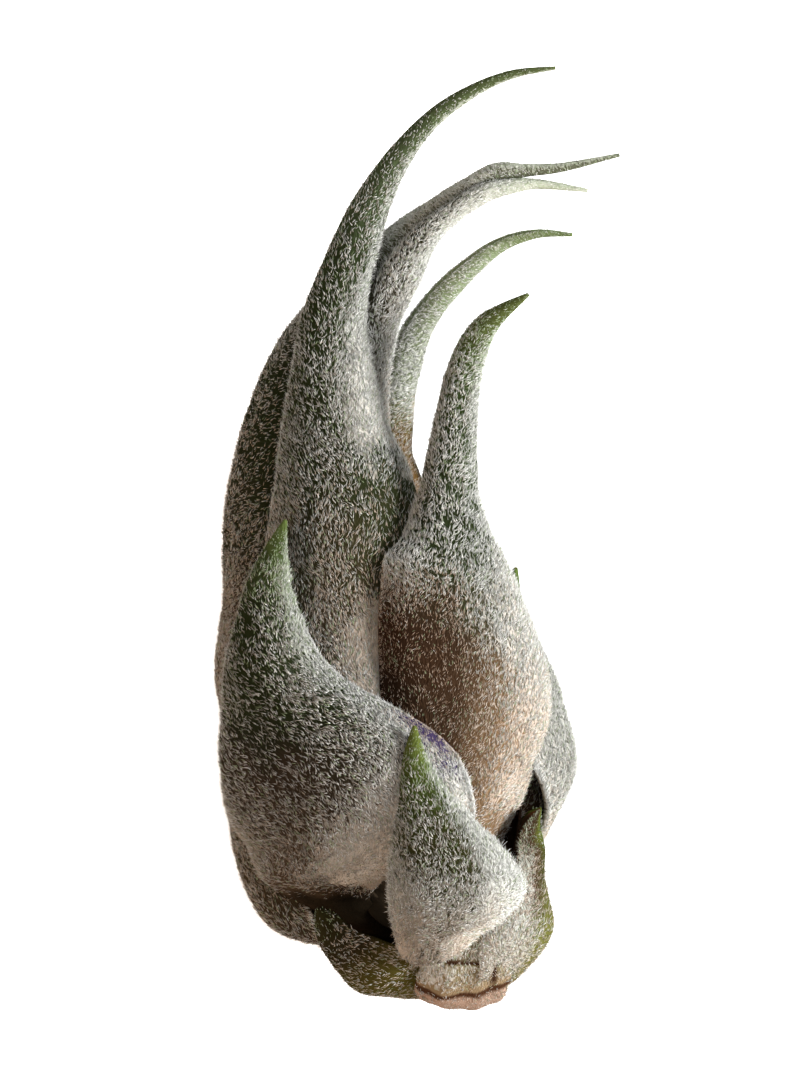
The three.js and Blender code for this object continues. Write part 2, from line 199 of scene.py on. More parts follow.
def leaf_skin(name, looks):
    """Living leaf tissue: brownish at the foot, grey green along the middle, bright green at the tip,
    under a felt of silver scales that runs along the leaf in swirls. The lining has no felt."""
    skin, surface = new_surface(name, 0.75, specular=0.0)
    nodes, links = skin.node_tree.nodes, skin.node_tree.links

    def calc(operation, *values):
        return arithmetic(nodes, links, operation, *values)

    def over(source, stops):
        return ramp(nodes, links, source, stops)

    place = nodes.new("ShaderNodeTexCoord").outputs["Object"]
    uv = nodes.new("ShaderNodeUVMap")
    uv.uv_map = "leaf"
    split = nodes.new("ShaderNodeSeparateXYZ")
    links.new(uv.outputs[0], split.inputs[0])
    wander = noise(nodes, links, place, 110, 3)
    drift = calc("MULTIPLY_ADD", wander.outputs["Fac"], DRIFT, -DRIFT / 2)
    run = calc("ADD", split.outputs["Y"], drift)
    across = calc("ADD", split.outputs["X"], drift)

    tinted = nodes.new("ShaderNodeMix")
    tinted.data_type = "RGBA"
    # The blush is a second colour of the tissue; on the dry bract it is painted shade in its cracks.
    blush_and_shade = calc("MULTIPLY", over(across, looks["blush_and_shade_across"]), over(run, looks["blush_and_shade_run"]))
    links.new(blush_and_shade, tinted.inputs["Factor"])
    links.new(over(run, looks["tissue"]), tinted.inputs["A"])
    tinted.inputs["B"].default_value = (*looks["blush_and_shade"], 1)

    cloth = nodes.new("ShaderNodeUVMap")
    cloth.uv_map = "felt"
    bend = nodes.new("ShaderNodeVectorMath")
    bend.operation = "MULTIPLY_ADD"
    links.new(noise(nodes, links, place, 260, 1).outputs["Color"], bend.inputs[0])
    bend.inputs[1].default_value = (SWIRL, SWIRL, 0)
    links.new(cloth.outputs[0], bend.inputs[2])
    stretch = nodes.new("ShaderNodeVectorMath")
    stretch.operation = "MULTIPLY"
    stretch.inputs[1].default_value = (*GRAIN, 1)
    links.new(bend.outputs[0], stretch.inputs[0])
    nap = noise(nodes, links, stretch.outputs[0], 1, 2)
    nap.inputs["Roughness"].default_value = 0.65

    share = calc("MULTIPLY", over(across, looks["silver_across"]), over(run, looks["silver_run"]))
    # The felt thins where it is bare; on the tall leaf this thin patch is a painted shadow.
    bare_and_shadow = calc("MULTIPLY", over(across, looks["bare_and_shadow_across"]), over(run, looks["bare_and_shadow_run"]))
    share = calc("MULTIPLY", share, calc("SUBTRACT", 1.0, bare_and_shadow))
    clothed = over(split.outputs["Y"], [(looks["bald"], 0.0), (looks["bald"] + BALD_SPAN, 1.0)])
    share = calc("MULTIPLY", share, clothed)
    level = calc("ADD", nap.outputs["Fac"], calc("MULTIPLY_ADD", share, COVER_GAIN, COVER_LEVEL))
    silver = nodes.new("ShaderNodeVectorMath")
    silver.operation = "SCALE"
    hue = over(run, [(0.1, looks["warm_silver"]), (0.55, (0.37, 0.37, 0.34)), (1.0, (0.32, 0.34, 0.27))])
    links.new(hue, silver.inputs[0])
    # The felt is darker under the dull, darker bristles: painted shade on the sides turned from the light.
    shade_dulled = calc("MULTIPLY_ADD", over(across, looks["dull_shade_across"]), -SHADE_DULL_FELT * looks["dull_shade"], 1.0)
    links.new(shade_dulled, silver.inputs["Scale"])
    mixed = nodes.new("ShaderNodeMix")
    mixed.data_type = "RGBA"
    links.new(over(level, [(0.42, 0.0), (0.5, 0.5), (0.7, 0.95)]), mixed.inputs["Factor"])
    links.new(tinted.outputs["Result"], mixed.inputs["A"])
    links.new(silver.outputs[0], mixed.inputs["B"])
    links.new(mixed.outputs["Result"], surface.inputs["Base Color"])

    bump = nodes.new("ShaderNodeBump")
    bump.inputs["Strength"].default_value = 1.0
    bump.inputs["Distance"].default_value = 0.0005
    links.new(nap.outputs["Fac"], bump.inputs["Height"])
    links.new(bump.outputs["Normal"], surface.inputs["Normal"])
    lining, _ = new_surface(name + "_inside", 0.6, looks["inner"], specular=0.0)
    return skin, lining


WALL = 1.3  # thickness of a leaf along its keel
MARGIN_SHARE = 0.6  # share of that left at the margins
TUBE_SHARE = 0.7  # the most of a rolled blade's radius that its wall takes up
skins = []  # every leaf's fine surface, for telling which parts lie open to the air


def girth(spine):
    """The length of a leaf's sections from margin to margin, about."""
    return 0.5 * (spine["half"] + spine["depth"]) * (spine["left"] + spine["right"])


def grow_leaf(name, spine, skin, seed, flow, rows=90, columns=36, slot="leaf", bumpy=1.0):
    """A leaf's outer side as a grid bent to its form, then given its thickness inwards."""
    bm = bmesh.new()
    bmesh.ops.create_grid(bm, x_segments=columns, y_segments=rows, size=1, calc_uvs=False)
    bm.verts.ensure_lookup_table()
    flat = np.array([v.co[:] for v in bm.verts])
    across, run = flat[:, 0], (flat[:, 1] + 1) / 2
    place = on_leaf(spine, run, across, seed, bumpy)

    def along_run(values):
        return np.interp(run * SPINE_STEPS, np.arange(SPINE_STEPS + 1), values)

    felt_x, felt_y = across * 0.5 * along_run(girth(spine)), along_run(spine["length"])
    turn = (math.cos(flow), math.sin(flow))
    layer, cloth = bm.loops.layers.uv.new("leaf"), bm.loops.layers.uv.new("felt")
    for face in bm.faces:
        for loop in face.loops:
            i = loop.vert.index
            loop[layer].uv = ((across[i] + 1) / 2, run[i])
            loop[cloth].uv = (felt_x[i] * turn[0] - felt_y[i] * turn[1],
                              felt_x[i] * turn[1] + felt_y[i] * turn[0])
    for v, co in zip(bm.verts, place):
        v.co = co * MM
    mesh = bpy.data.meshes.new(name)
    bm.normal_update()
    bm.to_mesh(mesh)
    bm.free()
    mesh.shade_smooth()
    for material in skin:
        mesh.materials.append(material)
    piece = bpy.data.objects.new(name, mesh)
    bpy.context.scene.collection.objects.link(piece)
    half = along_run(np.minimum(spine["half"], spine["depth"]))
    thick = np.minimum(WALL, TUBE_SHARE * half) * (1 - (1 - MARGIN_SHARE) * across**2)
    group = piece.vertex_groups.new(name="wall")
    for i, t in enumerate(thick):
        group.add([i], float(t / WALL), "REPLACE")
    wall = piece.modifiers.new("wall", "SOLIDIFY")
    wall.thickness = WALL * MM
    wall.offset = -1
    wall.vertex_group = "wall"
    wall.material_offset = 1
    wall.material_offset_rim = 0
    skins.append((np.array(place), mesh))
    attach(piece, "root")
    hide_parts(name)


leaves = {}
GREEN, SAGE, EARTH = (0.050, 0.074, 0.016), (0.012, 0.016, 0.006), (0.024, 0.016, 0.009)
NOWHERE, EVERYWHERE = ((0.0, 0.0), (1.0, 0.0)), ((0.0, 1.0), (1.0, 1.0))


def look(tissue=((0.05, EARTH), (0.35, EARTH), (0.55, SAGE), (0.88, SAGE), (0.98, GREEN)),
         blush_and_shade=(0.10, 0.05, 0.06), blush_and_shade_across=NOWHERE, blush_and_shade_run=EVERYWHERE,
         silver_across=((0.0, 1.0), (0.25, 0.8), (0.5, 0.55), (0.75, 0.85), (1.0, 1.0)),
         silver_run=((0.0, 0.9), (0.5, 0.95), (0.88, 0.8), (0.97, 0.3), (1.0, 0.0)),
         warm_silver=(0.36, 0.29, 0.225), bare_and_shadow_across=EVERYWHERE, bare_and_shadow_run=NOWHERE,
         inner=(0.06, 0.035, 0.028), warm=0.3, white=0.3, bald=0.08, fringe=0.07, brown=0.0,
         dull_shade=0.0, dull_shade_across=EVERYWHERE, flow=0.0):
    """How one leaf is coloured. Every list goes from foot to tip, or from the left margin to the right.
    Blush is a second colour of the tissue, and on the dry bract the painted shade in its creases and
    cracks. Silver is how dense the felt is, and bare where it is thin, which on the tall leaf is a painted
    shadow. Warm is how far up the leaf it is brownish, white its share of white, and below bald it has
    none. Fringe is the share of bristles that stand on the margins, dim the share of dull, darker ones,
    which darken the felt under them too: painted shade on the sides turned from the light. Brown is the
    share of dark ones where the tissue blushes. Flow is how far the felt turns from the leaf's own run,
    in degrees."""
    return dict(
        tissue=tissue, blush_and_shade=blush_and_shade, blush_and_shade_across=blush_and_shade_across, blush_and_shade_run=blush_and_shade_run,
        silver_across=silver_across, silver_run=silver_run, warm_silver=warm_silver,
        bare_and_shadow_across=bare_and_shadow_across, bare_and_shadow_run=bare_and_shadow_run, inner=inner, warm=warm, white=white, bald=bald,
        fringe=fringe, brown=brown, dull_shade=dull_shade, dull_shade_across=dull_shade_across, flow=math.radians(flow))


def leaf(name, faces, stations, looks, axis=(0, 1, 0), **options):
    """Grows one leaf. Each station has the place of its middle line, half its width, its depth, and how
    many degrees it wraps to the left and to the right. Faces is where its outer side looks."""
    spine = grow_spine(stations, faces, axis)
    seed = 10 * (len(leaves) + 1)
    grow_leaf(name, spine, leaf_skin(name + "_skin", looks), seed, looks["flow"], **options)
    leaves[name] = (spine, seed, options.get("bumpy", 1.0), looks)


# The tall leaf's felt is denser and brighter on its right half and dulled on its left: partly its own felt,
# partly painted light from the right and painted shade on the left. The thin patch of felt on its right
# side, a third of the way up, is a painted shadow of the right front leaf's blade.
leaf("leaf_tall", (-0.25, 0, 1), [
    (4, -42, 33.5, 4.6, 2.6, 80, 80), (-3, -35, 35.5, 10, 6, 88, 88), (-9.5, -14, 40, 17, 12, 95, 95),
    (-10.5, 8, 39.5, 18, 14.5, 98, 98), (-10.4, 27, 40, 16, 14.5, 100, 100),
    (-10.7, 42, 41, 13.2, 12.5, 105, 105), (-12.6, 53.5, 42.5, 9.8, 9.6, 115, 115),
    (-13, 66.8, 43.5, 7, 7.2, 132, 132), (-11.8, 77, 44, 5.6, 5.6, 145, 145),
    (-8.6, 87, 44.5, 4.4, 4.4, 150, 150), (-4.9, 95.5, 45, 3.4, 3.4, 150, 150),
    (-0.5, 103.1, 46, 2.5, 2.5, 150, 150), (6.1, 110.8, 47, 1.75, 1.75, 150, 150),
    (14, 116.2, 48, 1.25, 1.25, 150, 150), (21.5, 119.2, 49, 0.85, 0.85, 150, 150),
    (29.6, 120.3, 50, 0.35, 0.35, 150, 150),
], look(
    tissue=((0.2, (0.032, 0.023, 0.014)), (0.28, (0.020, 0.019, 0.008)), (0.35, SAGE),
            (0.55, (0.014, 0.020, 0.007)), (0.7, (0.034, 0.046, 0.022)), (1.0, (0.06, 0.075, 0.03))),
    silver_across=((0.0, 0.7), (0.2, 0.6), (0.42, 0.45), (0.52, 0.6), (0.62, 1.0), (0.72, 1.6), (1.0, 1.8)),
    silver_run=((0.0, 1.05), (0.24, 1.15), (0.32, 0.92), (0.45, 0.68), (0.6, 0.45), (0.7, 0.46),
                (0.85, 0.52), (1.0, 0.6)),
    bare_and_shadow_across=((0.48, 0.0), (0.6, 0.6), (0.72, 0.84), (1.0, 0.94)),
    bare_and_shadow_run=((0.20, 0.0), (0.25, 1.0), (0.33, 1.0), (0.40, 0.0)), white=0.45, dull_shade=0.25,
    dull_shade_across=((0.0, 1.0), (0.6, 1.0), (0.72, 0.2), (1.0, 0.0)), flow=-8), rows=150)

# The big leaf on the left
# One leaf on the left side of the bulb. Its sheath makes the plant's left outline, and its rolled blade
# passes behind the tall leaf and comes out again on the right.
# Its felt thins towards its upper margin, which runs under the tall leaf's edge: partly its own colour,
# partly painted shade from the tall leaf.
leaf("leaf_left", (-1, 0, 0.15), [
    (3.2, -42, 31, 5, 3, 80, 80), (-8, -35.5, 29, 11.5, 7, 90, 92), (-15, -17, 29, 18, 14, 95, 95),
    (-16.5, 2, 28.5, 17, 19, 98, 98), (-16.5, 20, 28.5, 14.5, 17.8, 98, 98),
    (-18.5, 37, 29, 11, 15.3, 100, 100), (-20.3, 52, 30, 8.4, 10.6, 112, 112),
    (-18.8, 63, 31, 6.8, 7.5, 130, 130), (-14.4, 72, 31, 5.5, 5.6, 145, 145),
    (-8, 81, 34, 4.1, 4.1, 150, 150), (-0.5, 88.2, 38, 3, 3, 150, 150),
    (6.5, 93.6, 40.6, 2.3, 2.3, 150, 150), (12.9, 97.8, 42, 2, 2, 150, 150),
    (18.5, 100.8, 43, 1.9, 1.9, 150, 150), (24, 101.2, 43.5, 1.3, 1.3, 150, 150),
    (31, 101.8, 43.5, 0.9, 0.9, 150, 150), (42, 104.2, 43.5, 0.35, 0.35, 150, 150),
], look(
    tissue=((0.2, (0.030, 0.022, 0.014)), (0.32, (0.013, 0.015, 0.006)), (0.45, SAGE),
            (0.6, (0.05, 0.05, 0.03)), (1.0, (0.07, 0.075, 0.05))),
    silver_across=((0.0, 1.1), (0.35, 1.1), (0.5, 0.75), (0.72, 0.45), (0.9, 0.25), (1.0, 0.25)),
    silver_run=((0.0, 1.1), (0.25, 1.0), (0.34, 0.6), (0.44, 0.8), (0.55, 1.5), (1.0, 1.6)),
    warm=0.4, white=0.4, flow=62), rows=150)

# The heart leaf
# The youngest leaf, in the middle of the bulb, still furled into a thin tube that leans on the big
# left leaf's blade.
leaf("leaf_heart", (0.2, 0, 1), [
    (3.5, -35.5, 33.4, 5, 3, 80, 80), (0, -20, 33, 9, 7, 90, 90), (-3, 4, 34, 10.5, 8.5, 98, 98),
    (-4, 26, 35, 8.5, 8, 100, 100), (-6.6, 46, 36.5, 5.6, 6, 112, 112),
    (-6.6, 60, 38, 4.3, 5, 135, 135), (-3.9, 73, 40.5, 4, 4, 150, 150),
    (0.3, 81.5, 42, 3.8, 3.6, 150, 150), (5, 88.6, 43.6, 2.6, 2.6, 150, 150),
    (10.5, 93.3, 44.6, 2.1, 2.1, 150, 150), (15.9, 96.7, 44.8, 1.9, 1.9, 150, 150),
    (20.5, 98, 44.5, 1.5, 1.5, 150, 150), (26.2, 98.6, 44, 1, 1, 150, 150),
    (35.9, 97.4, 43.5, 0.35, 0.35, 150, 150),
], look(
    tissue=((0.3, (0.03, 0.026, 0.016)), (0.6, (0.016, 0.017, 0.009)), (0.85, (0.03, 0.03, 0.018)),
            (1.0, (0.07, 0.07, 0.05))),
    silver_across=((0.0, 0.56), (0.45, 0.72), (0.8, 1.15), (1.0, 1.25)),
    silver_run=((0.0, 1.0), (0.45, 0.9), (0.6, 1.0), (0.75, 1.4), (1.0, 1.7)),
    warm=0.36, white=0.6), rows=140, columns=32)

# The inner leaf on the right
# Only its green blade shows, between the heart leaf and the right front leaf. It is living tissue with
# a thin felt, grown with its margins rolled together.
leaf("leaf_inner_right", (0.9, 0, -0.4), [
    (7.6, -39.8, 31, 5, 3, 80, 80), (11, -24, 27, 10, 7, 90, 90), (9, -4, 27, 13, 11, 95, 95),
    (5, 16, 27, 11.5, 10, 98, 98), (0, 34, 27, 8, 7.5, 105, 105),
    (-2.6, 46, 27, 5.5, 5.2, 130, 130), (-1.7, 53.5, 27.6, 4.4, 4.2, 160, 160),
    (-0.3, 61.1, 30, 3.6, 3.6, 172, 172), (2.4, 69.2, 33.4, 3, 3, 172, 172),
    (6.6, 76, 36, 2.5, 2.5, 172, 172), (12, 81.6, 38, 2.1, 2.1, 172, 172),
    (19, 87, 39.5, 1.5, 1.5, 172, 172), (26, 89.2, 41, 0.9, 0.9, 172, 172),
    (33, 89, 42, 0.35, 0.35, 172, 172),
], look(
    tissue=((0.3, (0.045, 0.032, 0.011)), (0.45, (0.04, 0.042, 0.018)), (0.58, (0.09, 0.105, 0.06)),
            (0.78, (0.13, 0.16, 0.09)), (1.0, (0.09, 0.12, 0.045))),
    blush_and_shade=(0.08, 0.04, 0.012), blush_and_shade_across=((0.2, 0.9), (0.9, 0.7)),
    blush_and_shade_run=((0.25, 1.0), (0.38, 0.8), (0.48, 0.3), (0.54, 0.0)),
    silver_across=((0.0, 1.1), (0.5, 0.9), (1.0, 1.0)),
    silver_run=((0.0, 0.8), (0.35, 0.35), (0.46, 0.5), (0.55, 0.78), (0.7, 0.58), (0.9, 0.55), (1.0, 0.5)),
    inner=(0.12, 0.13, 0.10), white=0.15, flow=40), rows=130, columns=32)

# The right front leaf
# A wide leaf over the front right of the bulb, golden brown below and purple along its left margin, with
# a short thick blade.
leaf("leaf_right_front", (0.3, 0, 0.95), [
    (8, -44.4, 34.4, 5, 3, 80, 80), (9, -31, 39, 9, 6, 85, 90), (10.3, -18, 40.5, 14, 11, 72, 95),
    (10.6, -6, 42, 18, 13.6, 68, 95), (10.6, 4, 44, 18.2, 13.8, 68, 95),
    (9.2, 14, 46, 16.6, 12.6, 68, 97), (7.7, 22.9, 47, 14.2, 11.4, 68, 100),
    (7.2, 27.3, 47.5, 12.6, 10.2, 70, 103), (8.3, 31.2, 48, 9.2, 8.4, 80, 106),
    (9.1, 38, 48.5, 6.2, 6.3, 112, 115), (9.8, 46, 49, 4.95, 5, 135, 135),
    (10.7, 54.5, 50, 4, 4, 150, 150), (11.9, 61.4, 51.3, 3.5, 3.5, 150, 150),
    (14, 67.4, 52.8, 2.9, 2.9, 150, 150), (17.3, 72.2, 54.8, 2.1, 2.1, 150, 150),
    (24.3, 77, 58, 0.35, 0.35, 150, 150),
], look(
    tissue=((0.05, (0.14, 0.090, 0.050)), (0.2, (0.12, 0.072, 0.038)), (0.32, (0.04, 0.030, 0.018)),
            (0.42, SAGE), (0.6, (0.013, 0.018, 0.007)), (0.8, (0.020, 0.031, 0.010)),
            (0.97, (0.052, 0.064, 0.020))),
    blush_and_shade=(0.018, 0.009, 0.005), blush_and_shade_across=((0.0, 1.0), (0.34, 0.85), (0.52, 0.0)),
    blush_and_shade_run=((0.05, 0.6), (0.17, 1.0), (0.33, 1.0), (0.40, 0.4), (0.46, 0.0)),
    silver_across=((0.0, 1.05), (0.08, 1.0), (0.3, 0.7), (0.5, 0.7), (0.8, 1.1), (1.0, 1.2)),
    silver_run=((0.0, 1.0), (0.3, 1.05), (0.40, 0.9), (0.52, 0.7), (0.62, 0.72), (0.8, 0.84), (0.93, 0.8),
                (1.0, 0.3)),
    bare_and_shadow_across=((0.0, 0.7), (0.05, 0.9), (0.28, 0.7), (0.45, 0.3), (0.6, 0.0)),
    bare_and_shadow_run=((0.0, 0.4), (0.18, 0.8), (0.32, 0.8), (0.39, 0.25), (0.43, 0.0)),
    warm_silver=(0.40, 0.325, 0.262), warm=0.24, white=0.6, brown=0.72, flow=12), rows=150)

# The leaves at the back
# Three leaves that close the whorl behind. The plant lies on the middle one, whose keel is worn a
# little flat where it rests.
leaf("leaf_back", (0, 0, -1), [
    (6.5, -46.5, 29.2, 6, 3.4, 80, 80), (3.6, -38.5, 21.5, 14, 9.5, 92, 88),
    (1, -21, 17.4, 20, 17.4, 92, 92),
    (-2, -1, 16.8, 22, 19, 95, 95), (-3.5, 18, 16.8, 19.5, 17.8, 98, 98),
    (-6, 34, 19, 14.5, 12.5, 100, 100), (-9, 48, 19.5, 9, 8, 112, 112),
    (-11, 60, 20, 4.6, 4.6, 140, 140), (-11, 70, 21.5, 2, 2, 150, 150),
    (-10, 77, 23, 0.35, 0.35, 150, 150),
], look())
leaf("leaf_back_right", (0.75, 0, -0.66), [
    (8.6, -43.2, 29.6, 5, 3, 80, 80), (13, -33, 24, 12, 8, 90, 90),
    (13.5, -18, 21, 16.5, 14, 95, 95), (12.5, -2, 21, 17.5, 16, 95, 95),
    (11, 14, 22, 14.5, 13.5, 98, 98), (9.6, 28, 24.5, 9.5, 9, 105, 105),
    (9.4, 40, 27.5, 5.2, 5.2, 135, 135), (10.5, 50, 30.5, 2.6, 2.6, 150, 150),
    (12, 58, 33, 0.35, 0.35, 150, 150),
], look(
    tissue=((0.05, (0.05, 0.028, 0.016)), (0.4, (0.036, 0.021, 0.012)), (0.6, SAGE), (0.88, SAGE),
            (0.98, GREEN)),
    silver_across=((0.0, 0.25), (0.15, 0.35), (0.3, 0.7), (0.5, 0.55), (0.75, 0.85), (1.0, 1.0)),
    inner=(0.12, 0.06, 0.03)))
leaf("leaf_back_low", (0.35, 0, -0.94), [
    (10, -52.5, 29.2, 5, 3, 80, 80), (11, -50, 21, 9, 6.5, 85, 85),
    (11.5, -43, 17, 12, 11.5, 88, 88), (11, -34, 15.5, 12.5, 13.2, 90, 90),
    (11, -25, 13.5, 9.5, 10.6, 92, 92), (13, -17, 8.8, 4.8, 5.2, 100, 100),
    (15.6, -10.5, 5, 2.2, 2.2, 140, 140), (17, -4.5, 4, 0.35, 0.35, 150, 150),
], look(
    tissue=((0.05, (0.05, 0.028, 0.016)), (0.6, (0.036, 0.021, 0.012)), (0.8, SAGE), (0.98, GREEN)),
    silver_across=((0.0, 0.25), (0.15, 0.35), (0.3, 0.7), (0.5, 0.55), (0.75, 0.85), (1.0, 1.0)),
    inner=(0.12, 0.06, 0.03)), rows=80, columns=32)

# The leaf on the right side
# A short living leaf, hollow and felted like the others, that bulges beyond the right front leaf. Its
# small green tip shows over that leaf's edge.
leaf("leaf_right_side", (1, 0, -0.15), [
    (10.6, -46.7, 31.3, 5, 3, 80, 80), (16, -37, 29, 11, 6.5, 44, 90),
    (17.5, -26, 28, 15, 11, 40, 95), (18.2, -13, 28.5, 17, 16, 72, 95),
    (17.5, 0, 29.5, 15, 13.8, 92, 95), (18.5, 10, 31.5, 10.5, 8.8, 95, 95),
    (20, 18, 34.5, 4.6, 4.2, 115, 115), (22.3, 25.2, 38.5, 0.35, 0.35, 150, 150),
], look(
    silver_across=((0.0, 1.0), (0.3, 0.85), (0.6, 0.7), (1.0, 0.7)),
    silver_run=((0.0, 1.0), (0.7, 0.85), (0.85, 0.3), (1.0, 0.0)),
    white=0.15, inner=(0.14, 0.07, 0.035)), rows=90)

# The left front leaf
# A short, wide and deeply cupped leaf over the front left of the bulb. Its living tissue is green at the
# short blade and purple at one edge, and its felt stands out along the margins.
# Its foot is near black and has no felt: painted shade in the hollow under the small front leaf. The dull,
# darker bristles over the left and middle of its cup are painted shade on the side turned from the light.
leaf("leaf_left_front", (-0.42, 0, 0.91), [
    (4.8, -46, 29.5, 4.4, 2.6, 80, 60), (-2.5, -43.4, 29, 4.6, 3.2, 85, 70),
    (-9.2, -40.4, 30.5, 6.6, 5, 90, 75), (-12.8, -37.8, 36.4, 9.4, 8.4, 92, 75),
    (-13.2, -33.6, 43.6, 13.6, 12, 95, 76), (-9.6, -28, 46.6, 20.4, 14.8, 98, 80),
    (-8.4, -22, 47.5, 26, 16, 100, 83), (-10.5, -11, 47.6, 25.2, 16.5, 100, 84),
    (-13, -5.5, 47.8, 22.3, 15.5, 100, 84), (-17, -0.5, 48.2, 17.5, 13.5, 100, 84),
    (-21.5, 4.5, 49, 12.2, 10.5, 100, 86), (-24.2, 11.5, 51, 8.2, 8, 105, 92),
    (-25, 20, 53.5, 4.9, 4.9, 128, 120), (-23.6, 28, 56, 2.4, 2.4, 145, 145),
    (-21.6, 34.4, 58, 0.35, 0.35, 150, 150),
], look(
    tissue=((0.2, (0.010, 0.007, 0.004)), (0.27, (0.040, 0.026, 0.015)), (0.38, (0.030, 0.021, 0.013)),
            (0.47, (0.020, 0.015, 0.010)), (0.56, (0.012, 0.013, 0.007)), (0.66, SAGE),
            (0.86, SAGE), (0.93, (0.030, 0.042, 0.014)), (1.0, (0.065, 0.09, 0.025))),
    blush_and_shade=(0.034, 0.024, 0.056), blush_and_shade_across=((0.84, 0.0), (0.93, 1.0)),
    blush_and_shade_run=((0.485, 0.0), (0.52, 1.0), (0.59, 1.0), (0.64, 0.0)),
    silver_across=((0.0, 1.5), (0.06, 1.4), (0.12, 0.85), (0.22, 0.46), (0.36, 0.36), (0.5, 0.40),
                   (0.66, 0.78), (0.82, 1.25), (1.0, 1.4)),
    silver_run=((0.21, 0.0), (0.25, 0.5), (0.29, 1.4), (0.35, 1.6), (0.42, 1.3), (0.50, 0.70),
                (0.66, 0.60), (0.8, 0.58), (0.9, 0.85), (0.97, 0.6), (1.0, 0.1)),
    bare_and_shadow_across=((0.88, 0.0), (0.94, 0.6)),
    bare_and_shadow_run=((0.50, 0.0), (0.53, 1.0), (0.57, 1.0), (0.62, 0.0)),
    warm_silver=(0.60, 0.49, 0.39), warm=0.42, white=0.6, bald=0.2, fringe=0.13, dull_shade=0.5,
    dull_shade_across=((0.0, 0.0), (0.1, 0.1), (0.2, 1.0), (0.68, 1.0), (0.84, 0.25), (1.0, 0.0)),
    flow=-18), rows=130, columns=56)

# The lower left leaf
# An older leaf low on the left, half hidden by the left front leaf. It is alive and hollow like the
# others, with a browner felt that is darker all over: partly its own colour, partly painted shade from
# the left front leaf over it.
leaf("leaf_left_low", (-0.8, 0, -0.6), [
    (6.1, -50, 30.6, 5, 3, 80, 80), (-5, -48.4, 25, 10, 5, 90, 90),
    (-12, -44.8, 21.5, 16, 10.8, 95, 122), (-15, -34, 20, 19, 14, 95, 118),
    (-16.6, -20, 19.5, 19.5, 15, 95, 106), (-17.2, -6, 19.5, 18, 15, 95, 95),
    (-19, 8, 19.5, 13.5, 12.5, 95, 95), (-21.5, 22, 20, 8, 8, 105, 105),
    (-23, 34, 22, 3.8, 3.8, 140, 140), (-23, 43, 24, 0.35, 0.35, 150, 150),
], look(
    tissue=((0.05, (0.040, 0.026, 0.015)), (0.5, (0.018, 0.016, 0.008)), (0.9, SAGE), (1.0, GREEN)),
    silver_across=((0.0, 0.9), (0.5, 0.75), (0.75, 0.4), (1.0, 0.28)),
    warm_silver=(0.30, 0.235, 0.18), warm=0.8, white=0.1, dull_shade=0.35))

# The small front leaf
# An outer living leaf in the middle of the front, with a dense white felt at its foot and right side. Its
# left margin stands free and leaves a dark hollow.
# The dull, darker bristles over its left side are painted shade on the side turned from the light.
leaf("leaf_front_small", (0.1, 0, 1), [
    (9.3, -48.2, 36.2, 4, 2, 80, 80), (7.2, -46.8, 46, 5.4, 2.8, 80, 80),
    (5.7, -45.6, 51.8, 7, 6.2, 82, 82), (8.6, -41.5, 56.4, 10.3, 9, 84, 84),
    (10.2, -36.5, 58.3, 12.6, 10.2, 84, 84), (10, -32, 59.6, 12.4, 10, 84, 84),
    (7.9, -25.8, 61, 10, 9, 84, 84), (4.6, -19, 63, 6.2, 6.6, 88, 88),
    (2.9, -11.5, 64.5, 2.8, 3, 120, 120), (2.7, -4.2, 65.5, 0.35, 0.35, 150, 150),
], look(
    tissue=((0.1, (0.04, 0.032, 0.022)), (0.4, (0.018, 0.018, 0.009)), (0.65, (0.018, 0.019, 0.006)),
            (0.83, (0.022, 0.030, 0.007)), (0.91, (0.046, 0.062, 0.014)), (0.98, (0.070, 0.084, 0.020))),
    silver_across=((0.0, 1.1), (0.14, 0.85), (0.25, 0.72), (0.4, 0.58), (0.56, 0.60), (0.72, 1.15),
                   (1.0, 1.6)),
    silver_run=((0.0, 1.1), (0.3, 1.55), (0.47, 1.3), (0.62, 0.82), (0.8, 0.64), (0.9, 0.66), (1.0, 0.2)),
    white=0.45, bald=0.02, fringe=0.12, dull_shade=0.42,
    dull_shade_across=((0.0, 0.5), (0.3, 1.0), (0.58, 1.0), (0.74, 0.0)), flow=10), rows=100)

# The two bracts
# Short outer leaves that cup the foot of the bulb, left and right. They are fleshy, living tissue, olive
# green where the felt is thin.
leaf("bract_left", (-0.3, -0.6, 0.74), [
    (8, -54.6, 36, 5.5, 3, 80, 85), (4.5, -52.1, 38, 9, 5, 85, 85),
    (-2, -49.2, 40.5, 11.2, 7, 88, 56), (-7.6, -45.6, 43, 9, 6, 90, 46),
    (-12.2, -42.4, 46, 5, 4.2, 95, 50), (-15.7, -39.5, 49, 0.4, 0.4, 100, 100),
], look(
    tissue=((0.1, (0.08, 0.055, 0.025)), (0.25, (0.055, 0.046, 0.010)), (0.45, (0.040, 0.034, 0.008)),
            (0.65, (0.016, 0.012, 0.005)), (1.0, (0.014, 0.014, 0.005))),
    silver_run=((0.0, 0.8), (0.25, 0.35), (0.4, 0.28), (0.6, 0.28), (1.0, 0.4)),
    warm=0.8, white=0.3, bald=0.02, fringe=0.03, flow=20), axis=(-0.8, 0.5, 0.3), rows=70, columns=32)
